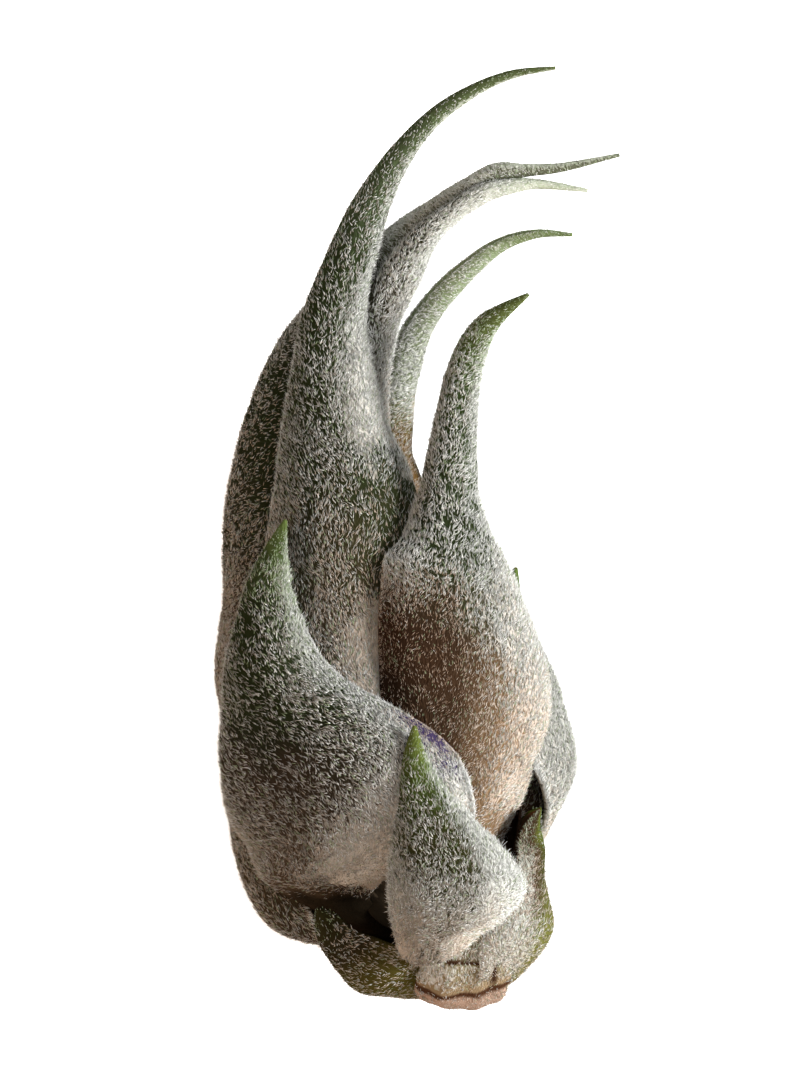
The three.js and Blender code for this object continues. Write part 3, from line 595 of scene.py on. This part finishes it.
leaf("bract_right", (0.94, 0, 0.34), [
    (13.4, -55.8, 34.4, 5.4, 3, 75, 80), (16.4, -53, 36.8, 10, 5.4, 66, 90),
    (17.3, -48.4, 37.5, 13.2, 8.2, 74, 95), (18.5, -41, 37.5, 14.8, 11, 78, 95),
    (19.5, -32, 38, 11.5, 8.6, 54, 95),
    (22.3, -25, 41.5, 6, 5.2, 60, 100), (26.7, -20.6, 46, 0.4, 0.4, 100, 100),
], look(
    tissue=((0.1, (0.10, 0.07, 0.04)), (0.25, (0.10, 0.085, 0.03)), (0.5, (0.070, 0.070, 0.018)),
            (0.7, (0.030, 0.032, 0.010)), (0.85, (0.040, 0.048, 0.010)), (1.0, (0.06, 0.075, 0.014))),
    blush_and_shade=(0.026, 0.016, 0.008), blush_and_shade_across=((0.0, 1.0), (0.3, 1.0), (0.5, 0.0)),
    blush_and_shade_run=((0.55, 0.0), (0.65, 1.0)),
    silver_across=((0.0, 1.1), (0.17, 1.05), (0.27, 0.78), (0.36, 0.42), (0.6, 0.33), (0.85, 0.45),
                   (1.0, 0.8)),
    silver_run=((0.0, 1.0), (0.4, 1.0), (0.7, 0.85), (0.85, 0.6), (1.0, 0.5)),
    bare_and_shadow_across=((0.28, 0.0), (0.40, 0.42), (1.0, 0.4)),
    bare_and_shadow_run=((0.3, 0.0), (0.42, 1.0), (0.8, 1.0), (0.95, 0.3)),
    inner=(0.10, 0.05, 0.025), warm=0.7, white=0.28, bald=0.02, fringe=0.0, brown=0.25, dull_shade=0.4,
    dull_shade_across=((0.0, 0.3), (0.34, 0.35), (0.5, 1.0), (1.0, 0.9)), flow=-15),
    axis=(0.25, 0.93, 0.27), rows=80, columns=32)

# The dry bract
# What is left of the lowest leaf: a dead, papery and wrinkled brown flap over the foot of the bulb.
# The dark lines across and along it, in its tissue colours and its blush, are painted shade in its creases
# and cracks.
leaf("dry_bract", (0, -0.75, 0.66), [
    (12, -57.4, 35.6, 5, 2, 75, 75), (11.8, -56.2, 40.6, 8.8, 3.4, 80, 80),
    (12, -53.6, 44.8, 9.4, 3.6, 80, 80), (12.6, -50.4, 47, 8.6, 3.2, 80, 80),
    (13.2, -47.2, 48.8, 7.6, 2.6, 80, 80), (14.2, -44, 50, 7, 2.2, 80, 80),
    (14.6, -41.5, 50.6, 0.6, 0.6, 80, 80),
], look(
    tissue=((0.0, (0.22, 0.155, 0.115)), (0.30, (0.25, 0.17, 0.125)), (0.335, (0.04, 0.018, 0.009)),
            (0.36, (0.04, 0.018, 0.009)), (0.385, (0.17, 0.12, 0.07)), (0.5, (0.15, 0.12, 0.07)),
            (0.60, (0.13, 0.115, 0.06)), (0.62, (0.03, 0.015, 0.008)), (0.64, (0.03, 0.015, 0.008)),
            (0.67, (0.10, 0.085, 0.055)), (1.0, (0.06, 0.05, 0.03))),
    silver_across=((0.0, 1.1), (0.25, 1.0), (0.5, 0.7), (0.75, 0.7), (1.0, 0.9)),
    silver_run=((0.0, 0.35), (0.30, 0.3), (0.34, 0.0), (0.36, 0.0), (0.42, 0.8), (0.59, 0.95),
                (0.63, 0.2), (0.68, 1.0), (1.0, 1.0)),
    blush_and_shade=(0.035, 0.018, 0.010), blush_and_shade_across=((0.69, 0.0), (0.72, 1.0), (0.75, 1.0), (0.78, 0.0)),
    blush_and_shade_run=((0.36, 0.0), (0.42, 1.0)),
    bare_and_shadow_across=((0.68, 0.0), (0.72, 1.0), (0.75, 1.0), (0.79, 0.0)), bare_and_shadow_run=((0.36, 0.0), (0.42, 1.0)),
    warm_silver=(0.38, 0.33, 0.28), inner=(0.12, 0.07, 0.04), warm=0.9, white=0.15, bald=0.0,
    fringe=0.0), axis=(0, 0.6, 0.8), rows=70, columns=50, slot="dry_bract", bumpy=3.0)

# The stem
# The short woody stem inside the foot, on which all the leaves are seated. It tapers, is rounded at its
# growing end and broken off at the foot.
STEM_FOOT, STEM_TOP = Vector((11.5, -58, 32.2)), Vector((3.4, -34.5, 31.3))
FOOT_RADIUS, TOP_RADIUS, ROUNDING = 5, 3.6, 1
SHORTER = 1  # than the run from one of those ends to the other
stem_run = STEM_TOP - STEM_FOOT
bm = bmesh.new()
bmesh.ops.create_cone(bm, cap_ends=True, segments=40, radius1=FOOT_RADIUS * MM, radius2=TOP_RADIUS * MM,
                      depth=(stem_run.length - SHORTER) * MM)
bmesh.ops.bevel(bm, geom=[e for e in bm.edges if e.calc_face_angle(0) > 1], affect="EDGES",
                offset=ROUNDING * MM, segments=4, profile=0.5, material=-1)
turn = stem_run.to_track_quat("Z", "Y").to_matrix().to_4x4()
bmesh.ops.transform(bm, matrix=turn, verts=bm.verts)
bmesh.ops.translate(bm, vec=(STEM_TOP + STEM_FOOT) * 0.5 * MM, verts=bm.verts)
stem_mesh = bpy.data.meshes.new("stem")
bm.to_mesh(stem_mesh)
bm.free()
stem_mesh.shade_smooth()
bark, surface = new_surface("dry_stem", 0.9)
nodes, links = bark.node_tree.nodes, bark.node_tree.links
fibres = noise(nodes, links, nodes.new("ShaderNodeTexCoord").outputs["Object"], 900, 4)
wood = ramp(nodes, links, fibres.outputs["Fac"], [
    (0.35, (0.030, 0.017, 0.010)), (0.5, (0.075, 0.045, 0.026)), (0.65, (0.14, 0.095, 0.06))])
links.new(wood, surface.inputs["Base Color"])
rough = nodes.new("ShaderNodeBump")
rough.inputs["Distance"].default_value = 0.0006
links.new(fibres.outputs["Fac"], rough.inputs["Height"])
links.new(rough.outputs["Normal"], surface.inputs["Normal"])
stem_mesh.materials.append(bark)
stem = bpy.data.objects.new("stem", stem_mesh)
bpy.context.scene.collection.objects.link(stem)
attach(stem, "root")
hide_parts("stem")

# The trichomes
# Silver scales that take up water from the air: flat, tapered bristles of dead cells, about a millimetre
# long, one root each, all over the outer sides. They lie mostly along the leaf in mixed directions.
bm = bmesh.new()
bmesh.ops.create_cone(bm, cap_ends=True, segments=3, radius1=1, radius2=0, depth=1)
spike = np.array([v.co[:] for v in bm.verts])
spike_faces = np.array([[v.index for v in f.verts] for f in bm.faces])
bm.free()
spike[:, 2] += 0.5  # it stands on its root
# The dull shade is a darker bristle colour, used as painted shade on the sides of leaves turned from the
# light.
WHITE, SILVER, WARM, GREENISH, BROWN, SHADE_DULL = range(6)
bristles = [new_surface("trichome_" + shade, 0.55, color)[0] for shade, color in (
    ("white", (0.54, 0.535, 0.51)), ("silver", (0.33, 0.33, 0.305)), ("warm", (0.365, 0.30, 0.24)),
    ("green", (0.20, 0.25, 0.14)), ("brown", (0.19, 0.122, 0.078)), ("dull_in_shade", (0.205, 0.185, 0.16)))]
corners, polygons, start = [], [], 0
for place, mesh in skins:
    corners.append(place * MM)
    polygons += [[i + start for i in p.vertices] for p in mesh.polygons]
    start += len(place)
everything = BVHTree.FromPolygons(np.concatenate(corners).tolist(), polygons)

DENSITY, UNDER_DENSITY = 14.6, 2.0  # bristles for each square millimetre of the upper and lower sides
SEEN_LEVEL, SEEN_GAIN = 0.6, 0.9  # how the density goes from one to the other as the skin turns down
LENGTHS, WIDTH = (0.8, 1.35), 0.19  # of a bristle, in millimetres
WIDTHS, THICKNESS = (0.7, 1.3), 0.3  # how the widths differ, and a bristle's thickness, as shares of WIDTH
RIM, RIM_LENGTH = 0.975, 1.35  # how far out the margin's bristles stand, and how much longer they are
SUNK, RAISED = 0.05, 0.25  # how deep a root sits in the skin, and from where the air over it is searched
PRESSED, CLEFT, SKY = 1.4, 7, 60  # how far: for a leaf lying on it, a cleft's other side, the open sky
NUDGE, TINY = 2e-3, 1e-9  # the step that measures how the skin slopes, and the least slope
PATCH, PATCH_WAVE, TUFT, TUFT_WAVE = 0.25, 7.0, 0.7, 1.4  # broad patches and tufts of denser felt
FOOT = (0.2, 0.4)  # from the sleek, brownish felt of the foot to the loose, white one higher up


def felt(name, seed):
    """Scatters bristles over the parts of one leaf that lie open to the air, and makes them one mesh."""
    spine, leaf_seed, bumpy, looks = leaves[name]
    rng = np.random.default_rng(seed)
    even = np.linspace(0, 1, SPINE_STEPS + 1)
    strip = girth(spine) * np.gradient(spine["length"])
    count = int(DENSITY * np.sum(strip))
    run = np.interp(rng.uniform(0, np.sum(strip), count), np.cumsum(strip), even)
    across = rng.uniform(-1, 1, count)
    rim = rng.uniform(0, 1, count) < looks["fringe"]
    across = np.where(rim, np.sign(across) * rng.uniform(RIM, 1.0, count), across)

    def near(run_step, across_step):
        return on_leaf(spine, np.clip(run + run_step, 0, 1), np.clip(across + across_step, -1, 1),
                       leaf_seed, bumpy)

    here = near(0, 0)
    up = near(NUDGE, 0) - near(-NUDGE, 0)
    normal = np.cross(near(0, NUDGE) - near(0, -NUDGE), up)
    good = np.linalg.norm(normal, axis=1) > TINY
    up /= np.maximum(np.linalg.norm(up, axis=1), TINY)[:, None]
    normal /= np.maximum(np.linalg.norm(normal, axis=1), TINY)[:, None]

    def share(stops, at):
        return np.interp(at, [s[0] for s in sorted(stops)], [s[1] for s in sorted(stops)])

    # which of them grow, and which lie open to the air
    side = (across + 1) / 2
    silver = share(looks["silver_across"], side) * share(looks["silver_run"], run)
    # fewer grow where the felt is bare, and on the tall leaf in the patch of painted shadow
    silver *= 1 - share(looks["bare_and_shadow_across"], side) * share(looks["bare_and_shadow_run"], run)
    uneven = 1 + PATCH * lumps(here, seed + 5, PATCH_WAVE) + TUFT * lumps(here, seed + 6, TUFT_WAVE)
    silver = np.clip(silver * uneven, 0.02, 1)
    silver *= np.clip((run - looks["bald"]) / BALD_SPAN, 0, 1)
    seen = np.clip(SEEN_LEVEL + SEEN_GAIN * normal[:, 2], UNDER_DENSITY / DENSITY, 1)
    keep = good & (rng.uniform(0, 1, count) < silver * seen)
    for i in np.nonzero(keep)[0]:
        origin, outward = Vector((here[i] + normal[i] * RAISED) * MM), Vector(normal[i])
        if everything.ray_cast(origin, outward, PRESSED * MM)[0] is not None:
            keep[i] = False
        elif everything.ray_cast(origin, outward, CLEFT * MM)[0] is not None:
            sky = everything.ray_cast(origin, Vector((0, 0, 1)), SKY * MM)[0]
            keep[i] = normal[i][2] > 0.1 and sky is None
    here, up, normal, run, across, rim = (v[keep] for v in (here, up, normal, run, across, rim))
    n = len(here)
    side = (across + 1) / 2
    # the blush, which on the dry bract is painted shade in its cracks
    blush_and_shade = share(looks["blush_and_shade_across"], side) * share(looks["blush_and_shade_run"], run)

    # which way each one lies on the skin, and how far it lifts off it, in radians
    sideways = np.cross(normal, up)
    swirl = looks["flow"] + 0.45 * lumps(here, seed + 7, 8.0) + 0.4 * lumps(here, seed + 8, 2.5)
    swirl += rng.normal(0, 1, n) * np.interp(run, FOOT, (0.2, 0.42))
    swirl = np.where(rim, np.sign(across) * -rng.uniform(0.8, 1.4, n), swirl)
    lift = np.abs(rng.normal(0.38, 0.22, n)) + np.where(rng.uniform(0, 1, n) < 0.2, 0.45, 0)
    lift *= np.interp(run, FOOT, (0.65, 1.0))
    lift = np.where(rim, rng.normal(0.1, 0.3, n), lift)
    lie = up * np.cos(swirl)[:, None] - sideways * np.sin(swirl)[:, None]
    point = lie * np.cos(lift)[:, None] + normal * np.sin(lift)[:, None]
    flat = np.cross(point, normal)
    flat /= np.linalg.norm(flat, axis=1)[:, None]
    top = np.cross(flat, point)

    # its size: shorter on narrow blades, and finer where the tissue blushes
    size = rng.uniform(*LENGTHS, n) * np.where(rim, RIM_LENGTH, 1)
    size = size * np.clip(np.interp(run, even, spine["half"]) / 3.5, 0.4, 1)
    size *= 1 - 0.3 * blush_and_shade
    wide = WIDTH * rng.uniform(*WIDTHS, n) * (1 - 0.25 * blush_and_shade)
    root = here - normal * SUNK
    verts = (root[:, None, :] + flat[:, None, :] * (spike[None, :, 0:1] * wide[:, None, None] / 2)
             + top[:, None, :] * (spike[None, :, 1:2] * wide[:, None, None] * THICKNESS)
             + point[:, None, :] * (spike[None, :, 2:3] * size[:, None, None]))
    clear = verts[:, :, 2].min(axis=1) > 0  # of the surface that the plant rests on
    verts = verts[clear].reshape(-1, 3) * MM
    run, across, rim, side, blush_and_shade = (v[clear] for v in (run, across, rim, side, blush_and_shade))
    n = len(run)
    base = np.arange(n) * len(spike)
    loops = np.concatenate([(base[:, None] + f[None, :]).reshape(n, 1, 3) for f in spike_faces], axis=1)
    loops = loops.reshape(-1)
    mesh = bpy.data.meshes.new("trichomes_" + name)
    mesh.vertices.add(len(verts))
    mesh.vertices.foreach_set("co", verts.reshape(-1))
    mesh.loops.add(len(loops))
    mesh.loops.foreach_set("vertex_index", loops.astype(np.int32))
    mesh.polygons.add(len(loops) // 3)
    mesh.polygons.foreach_set("loop_start", np.arange(0, len(loops), 3, dtype=np.int32))
    mesh.polygons.foreach_set("loop_total", np.full(len(loops) // 3, 3, dtype=np.int32))

    # its colour: each shade takes its share of what the ones before it left, the last ones on top
    white = looks["white"] * np.interp(run, FOOT, (0.3, 1))
    white = white + 0.4 * (np.abs(across) > 0.85) * np.clip((run - 0.3) / 0.1, 0, 1)
    warm = np.clip((looks["warm"] - run) / 0.15 + 0.4, 0, 0.6) + blush_and_shade
    # dull, darker bristles where the leaf is dimmed: painted shade on its side turned from the light
    dull_shade = looks["dull_shade"] * share(looks["dull_shade_across"], side)
    green = np.clip((run - 0.75) / 0.25, 0.1, 0.8)
    tint = np.full(n, SILVER)
    for shade, chance, on_rim in ((WHITE, white, True), (WARM, warm, True), (SHADE_DULL, dull_shade, False),
                                  (BROWN, looks["brown"] * blush_and_shade, True), (GREENISH, green, False)):
        tint[(rng.uniform(0, 1, n) < chance) & (on_rim | ~rim)] = shade
    mesh.polygons.foreach_set("material_index", np.repeat(tint, len(spike_faces)).astype(np.int32))
    for hair in bristles:
        mesh.materials.append(hair)
    mesh.update(calc_edges=True)
    piece = bpy.data.objects.new("trichomes_" + name, mesh)
    bpy.context.scene.collection.objects.link(piece)
    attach(piece, "root")
    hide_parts(name)


for number, name in enumerate(leaves):
    felt(name, 100 + 10 * number)

# The table, light and camera
# A pale matt table top that shines a little by itself, soft studio light from the upper right, and a
# camera straight above.
bm = bmesh.new()
bmesh.ops.create_grid(bm, x_segments=1, y_segments=1, size=1.5)
floor_mesh = bpy.data.meshes.new("table_top")
bm.to_mesh(floor_mesh)
bm.free()
paper, surface = new_surface("pale_table", 0.9, (0.85, 0.85, 0.85))
surface.inputs["Emission Color"].default_value = (1, 1, 1, 1)
surface.inputs["Emission Strength"].default_value = 0.8
floor_mesh.materials.append(paper)
floor = bpy.data.objects.new("table_top", floor_mesh)
floor.location.z = -0.0005
bpy.context.scene.collection.objects.link(floor)

world = bpy.data.worlds.new("studio")
world.use_nodes = True
background = world.node_tree.nodes["Background"]
background.inputs["Color"].default_value = (1, 1, 1, 1)
background.inputs["Strength"].default_value = 0.14
bpy.context.scene.world = world


def lamp(name, place, aim, size, power, color=(1, 1, 1)):
    """A square lamp at a place, turned towards its aim."""
    light = bpy.data.lights.new(name, "AREA")
    light.color = color
    light.size = size
    light.energy = power
    thing = bpy.data.objects.new(name, light)
    thing.location = place
    thing.rotation_euler = (Vector(aim) - Vector(place)).to_track_quat("-Z", "Y").to_euler()
    bpy.context.scene.collection.objects.link(thing)


lamp("window", (0.85, 0.05, 0.5), (0, 0.03, 0.03), size=0.3, power=29)
lamp("sky", (0.1, 0.1, 1.1), (0, 0.03, 0), size=0.8, power=5.5)
lamp("warm_bounce", (-0.55, -0.45, 0.5), (0, 0, 0.03), size=0.4, power=5, color=(1.0, 0.66, 0.42))

MIDDLE, MID_HEIGHT = 0.0318, 0.045  # the middle of the picture, along the plant and in height
DISTANCE = 1.132  # from there up to the camera
camera = bpy.data.cameras.new("above")
camera.lens = 200
camera.sensor_width = 36
camera.sensor_fit = "AUTO"
camera.clip_start, camera.clip_end = 0.01, 10
eye = bpy.data.objects.new("above", camera)
eye.location = (0, MIDDLE, MID_HEIGHT + DISTANCE)
eye.rotation_euler = (0, 0, 0)
bpy.context.scene.collection.objects.link(eye)
bpy.context.scene.camera = eye
bpy.context.scene.view_settings.view_transform = "Standard"
